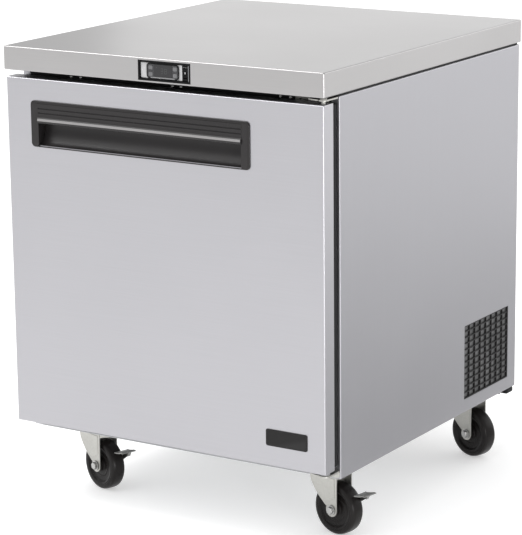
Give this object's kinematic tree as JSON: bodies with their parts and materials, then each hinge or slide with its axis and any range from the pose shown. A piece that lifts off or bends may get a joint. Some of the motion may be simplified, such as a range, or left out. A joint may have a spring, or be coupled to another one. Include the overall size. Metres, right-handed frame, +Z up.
{
  "type": "undercounter refrigerator",
  "caption": "Undercounter refrigerator with a hinged front door: stainless cabinet and worktop, recessed door pull, front controller, side vent grille, swivel casters with brakes in front.",
  "frame": {"origin": "on the floor under the centre of the bounding box; the cabinet's centre plane is at x = -10.5 mm, because one brake lever reaches past the right side", "axes": "+Z up, the door faces -Y, +X is the hinge side"},
  "size_m": [0.7219, 0.7704, 0.89],
  "materials": {
    "worktop_steel": "polished, fine grain",
    "panel_steel": "brushed",
    "black_plastic": "fine grain",
    "liner_aluminium": "stucco, satin",
    "foam": "matt foam",
    "tray_steel": "dark, satin",
    "galvanized_steel": "galvanized, matt",
    "shelf_steel": "plastic-coated wire",
    "compressor_enamel": "gloss enamel",
    "coil_aluminium": "bare fins",
    "copper": "bare copper",
    "white_plastic": "satin",
    "grey_plastic": "satin",
    "gasket_rubber": "matt",
    "zinc": "zinc-plated, satin",
    "wheel_polyurethane": "matt, moulded"
  },
  "bodies": {
    "cabinet": {"worktop": "worktop_steel", "side_panel_left": "panel_steel", "side_panel_right": "panel_steel", "vent_grille": "black_plastic", "front_frame": "black_plastic", "cord_gland": "black_plastic", "controller_bezel": "black_plastic", "condenser_fan_housing": "black_plastic", "liner": "liner_aluminium", "insulation_foam": "foam", "machine_tray": "tray_steel", "rear_cover": "galvanized_steel", "back_panel": "galvanized_steel", "base_plate": "galvanized_steel", "shelf_rack_left": "shelf_steel", "shelf_rack_right": "shelf_steel", "shelf_lower": "shelf_steel", "shelf_upper": "shelf_steel", "compressor": "compressor_enamel", "condenser_coil": "coil_aluminium", "evaporator_coil": "coil_aluminium", "suction_line": "copper", "evaporator_cover": "white_plastic", "controller_body": "white_plastic", "evaporator_fan_motor": "grey_plastic", "controller_fascia": "grey_plastic", "top_hinge_bracket": "zinc", "bottom_hinge_bracket": "zinc", "caster_plate_front_left": "zinc", "caster_plate_front_right": "zinc", "caster_plate_rear_left": "zinc", "caster_plate_rear_right": "zinc"},
    "door": {"door_skin": "panel_steel", "door_foam": "foam", "door_liner": "liner_aluminium", "door_gasket": "gasket_rubber", "door_handle": "black_plastic", "badge_plate": "black_plastic", "closer_cartridge": "grey_plastic"},
    "fork_front_left": {"caster_fork_front_left": "zinc", "axle_bolt_front_left": "zinc"},
    "wheel_front_left": {"wheel_front_left": "wheel_polyurethane"},
    "brake_front_left": {"brake_lever_front_left": "zinc"},
    "fork_front_right": {"caster_fork_front_right": "zinc", "axle_bolt_front_right": "zinc"},
    "wheel_front_right": {"wheel_front_right": "wheel_polyurethane"},
    "brake_front_right": {"brake_lever_front_right": "zinc"},
    "fork_rear_left": {"caster_fork_rear_left": "zinc", "axle_bolt_rear_left": "zinc"},
    "wheel_rear_left": {"wheel_rear_left": "wheel_polyurethane"},
    "fork_rear_right": {"caster_fork_rear_right": "zinc", "axle_bolt_rear_right": "zinc"},
    "wheel_rear_right": {"wheel_rear_right": "wheel_polyurethane"},
    "key_set": {"key_set": "grey_plastic"},
    "key_light": {"key_light": "grey_plastic"},
    "key_up": {"key_up": "grey_plastic"},
    "key_down": {"key_down": "grey_plastic"},
    "power_rocker": {"power_rocker": "black_plastic"},
    "condenser_fan": {"condenser_fan": "grey_plastic"},
    "evaporator_fan": {"evaporator_fan": "grey_plastic"}
  },
  "joints": [
    {"name": "door_hinge", "type": "hinge", "parent": "cabinet", "child": "door", "pos_m": [0.3255, -0.364, 0.5], "axis": [0, 0, 1], "range_deg": [0, 120], "stiffness_Nm_per_rad": 2, "springref_deg": -20.05},
    {"name": "swivel_front_left", "type": "hinge", "parent": "cabinet", "child": "fork_front_left", "pos_m": [-0.2765, -0.242, 0.12], "axis": [0, 0, 1], "continuous": true},
    {"name": "roll_front_left", "type": "hinge", "parent": "fork_front_left", "child": "wheel_front_left", "pos_m": [-0.24624, -0.25242, 0.05], "axis": [0.3256, 0.9455, 0], "continuous": true},
    {"name": "brake_press_front_left", "type": "hinge", "parent": "fork_front_left", "child": "brake_front_left", "pos_m": [-0.24624, -0.25242, 0.05], "axis": [0.3256, 0.9455, 0], "range_deg": [0, 15]},
    {"name": "swivel_front_right", "type": "hinge", "parent": "cabinet", "child": "fork_front_right", "pos_m": [0.2555, -0.242, 0.12], "axis": [0, 0, 1], "continuous": true},
    {"name": "roll_front_right", "type": "hinge", "parent": "fork_front_right", "child": "wheel_front_right", "pos_m": [0.2868, -0.24865, 0.05], "axis": [0.2079, 0.9781, 0], "continuous": true},
    {"name": "brake_press_front_right", "type": "hinge", "parent": "fork_front_right", "child": "brake_front_right", "pos_m": [0.2868, -0.24865, 0.05], "axis": [0.2079, 0.9781, 0], "range_deg": [0, 15]},
    {"name": "swivel_rear_left", "type": "hinge", "parent": "cabinet", "child": "fork_rear_left", "pos_m": [-0.2765, 0.307, 0.12], "axis": [0, 0, 1], "continuous": true},
    {"name": "roll_rear_left", "type": "hinge", "parent": "fork_rear_left", "child": "wheel_rear_left", "pos_m": [-0.24643, 0.29606, 0.05], "axis": [0.342, 0.9397, 0], "continuous": true},
    {"name": "swivel_rear_right", "type": "hinge", "parent": "cabinet", "child": "fork_rear_right", "pos_m": [0.2555, 0.307, 0.12], "axis": [0, 0, 1], "continuous": true},
    {"name": "roll_rear_right", "type": "hinge", "parent": "fork_rear_right", "child": "wheel_rear_right", "pos_m": [0.2861, 0.29764, 0.05], "axis": [0.2924, 0.9563, 0], "continuous": true},
    {"name": "key_set_press", "type": "slide", "parent": "cabinet", "child": "key_set", "axis": [0, 1, 0], "range_m": [0, 0.0006], "stiffness_N_per_m": 500},
    {"name": "key_light_press", "type": "slide", "parent": "cabinet", "child": "key_light", "axis": [0, 1, 0], "range_m": [0, 0.0006], "stiffness_N_per_m": 500},
    {"name": "key_up_press", "type": "slide", "parent": "cabinet", "child": "key_up", "axis": [0, 1, 0], "range_m": [0, 0.0006], "stiffness_N_per_m": 500},
    {"name": "key_down_press", "type": "slide", "parent": "cabinet", "child": "key_down", "axis": [0, 1, 0], "range_m": [0, 0.0006], "stiffness_N_per_m": 500},
    {"name": "power_rocker_tilt", "type": "hinge", "parent": "cabinet", "child": "power_rocker", "pos_m": [0.04975, -0.378, 0.867], "axis": [1, 0, 0], "range_deg": [0, 14]},
    {"name": "condenser_fan_spin", "type": "hinge", "parent": "cabinet", "child": "condenser_fan", "pos_m": [0.2205, 0.265, 0.232], "axis": [1, 0, 0], "continuous": true},
    {"name": "evaporator_fan_spin", "type": "hinge", "parent": "cabinet", "child": "evaporator_fan", "pos_m": [-0.0105, 0.243, 0.668], "axis": [0, 1, 0], "continuous": true}
  ]
}
